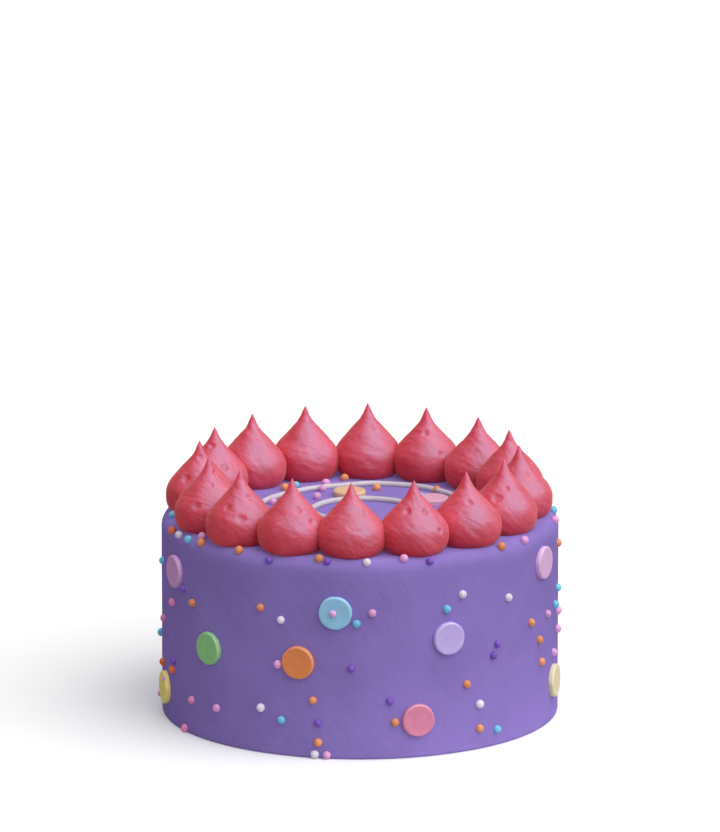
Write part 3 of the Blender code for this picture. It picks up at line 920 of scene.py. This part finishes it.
def pearl_middles(discs, hidden):
    """The middle and size of each pearl, by colour."""
    rows = [(colour, azimuth, climb * MM) for colour, row in SEEN_PEARLS.items() for azimuth, climb in row]
    for order, (azimuth, climb) in enumerate(hidden):
        rows.append((HIDDEN_PEARL_COLOURS[order % len(HIDDEN_PEARL_COLOURS)], azimuth, climb))
    pearls = {colour: [] for colour in PEARL_COLOURS}
    for colour, azimuth, climb in rows:
        lean = on_icing(azimuth, climb)[2]
        lift = PEARL_LIFT + (PEARL_RESTING - PEARL_LIFT) * lean / (math.pi / 2)
        place = on_icing(azimuth, climb, lift)[0]
        if clear_of_kisses(place, PEARL_ROUGH_RADIUS):
            pearls[colour].append((place, PEARL_SIZES.get(colour, 1.0)))
    for number, colour, across, up, size in DISC_PEARLS:
        azimuth, climb, _ = discs[number - 1]
        _, normal, lean = on_icing(azimuth, climb)
        stands = DISC_LYING if lean > 0 else DISC_PRESSED
        place = on_icing(azimuth, climb, GAP + stands + PEARL_ON_DISC)[0]
        side = outwards(azimuth + 90)
        pearls[colour].append((place + side * across * MM + normal.cross(side) * up * MM, size))
    return pearls


def sugar_pearls(discs, hidden):
    recipe = pearl_recipe()
    carriers = {"pink": ("cake", "disc_04", "disc_09"), "cyan": ("cake", "disc_11")}
    for seed, (colour, pearls) in enumerate(pearl_middles(discs, hidden).items()):
        places, sizes = zip(*pearls)
        piece = recipe.make(
            "sugar_pearls_" + colour, points_mesh("pearls", places, sizes),
            Radius=PEARL_RADIUS, Spread=0.05, Seed=seed, Material=pearl_finish(colour, PEARL_COLOURS[colour]),
        )
        finished(piece, None, *carriers.get(colour, ("cake",)))


def piped_swirl():
    turns = [SWIRL[0][0]]
    while turns[-1] < SWIRL[-1][0]:
        turns.append(turns[-1] + math.degrees(LINE_SPACING / (through(SWIRL, turns[-1]) * MM)))
    middle = UP * (CAKE_HEIGHT + LINE_LIFT)
    places = [middle + outwards(turn) * through(SWIRL, turn) * MM for turn in turns]
    path = points_mesh("path", places, edges=[(i, i + 1) for i in range(len(places) - 1)])
    piece = line_recipe().make(
        "piped_swirl", path, Radius=LINE_RADIUS, Wobble=1.6 * MM, Material=piped_finish(),
    )
    finished(piece, None, "cake")


# Studio

def studio():
    scene = bpy.context.scene
    scene.view_settings.view_transform = "Standard"
    add_floor()
    add_reflector()

    world = bpy.data.worlds.new("studio")
    scene.world = world
    world.use_nodes = True
    background = world.node_tree.nodes["Background"]
    background.inputs["Color"].default_value = (1, 1, 1, 1)
    background.inputs["Strength"].default_value = SKY_STRENGTH

    add_sun("key", azimuth=56, elevation=50, strength=1.9, softness=70)
    add_sun("shine", azimuth=56, elevation=52, strength=18.5, softness=85).visible_diffuse = False
    add_sun("fill", azimuth=5, elevation=5, strength=0.12, softness=40).data.use_shadow = False
    add_sun("overhead", azimuth=0, elevation=88, strength=0.6, softness=20).data.use_shadow = False

    data = bpy.data.cameras.new("camera")
    data.sensor_width = CAMERA_SENSOR
    data.lens = CAMERA_LENS
    data.clip_end = CAMERA_REACH
    camera = bpy.data.objects.new("camera", data)
    camera.location = CAMERA_PLACE
    camera.rotation_euler = (math.radians(90 - CAMERA_DIP), 0, 0)
    scene.collection.objects.link(camera)
    scene.camera = camera


def flat_sheet(name, corners, material, unseen_by):
    """A flat sheet with these corners, which rays of the kinds in UNSEEN_BY pass by."""
    mesh = bpy.data.meshes.new(name)
    mesh.from_pydata([tuple(corner) for corner in corners], [], [tuple(range(len(corners)))])
    mesh.materials.append(material)
    sheet = bpy.data.objects.new(name, mesh)
    bpy.context.scene.collection.objects.link(sheet)
    for kind in unseen_by:
        setattr(sheet, "visible_" + kind, False)
    return sheet


def add_floor():
    """A wide pale floor, which only shows and takes the cake's shadow."""
    sides = ((-1, -1), (1, -1), (1, 1), (-1, 1))
    corners = [(x * FLOOR_REACH, y * FLOOR_REACH, 0) for x, y in sides]
    floor = flat_sheet("floor", corners, floor_finish(), ("diffuse", "glossy", "shadow"))


def add_reflector():
    """A round grey sheet under the cake, which only throws light back at the wall."""
    ring = [outwards(turn) * REFLECTOR_RADIUS - UP * REFLECTOR_DROP for turn in range(0, 360, 5)]
    grey = Finish("reflector", Base_Color=(REFLECTOR_GREY, REFLECTOR_GREY, REFLECTOR_GREY, 1.0)).material
    sheet = flat_sheet("reflector", ring, grey, ("camera", "glossy", "shadow"))


def add_sun(name, azimuth, elevation, strength, softness):
    """A soft light from this side, where softness is how wide it looks in degrees."""
    data = bpy.data.lights.new(name, "SUN")
    data.energy = strength
    data.angle = math.radians(softness)
    sun = bpy.data.objects.new(name, data)
    lean = math.radians(elevation)
    towards = outwards(azimuth) * math.cos(lean) + UP * math.sin(lean)
    sun.rotation_euler = towards.to_track_quat("Z", "Y").to_euler()
    bpy.context.scene.collection.objects.link(sun)
    return sun


def build():
    hidden_discs, hidden_pearls = hidden_toppings()
    discs = [(azimuth, climb * MM, colour) for azimuth, climb, colour in SEEN_DISCS]
    discs += [(*place, colour) for place, colour in zip(hidden_discs, DISC_COLOURS)]
    iced_body()
    piped_kisses()
    sugar_discs(discs)
    sugar_pearls(discs, hidden_pearls)
    piped_swirl()
    studio()


build()
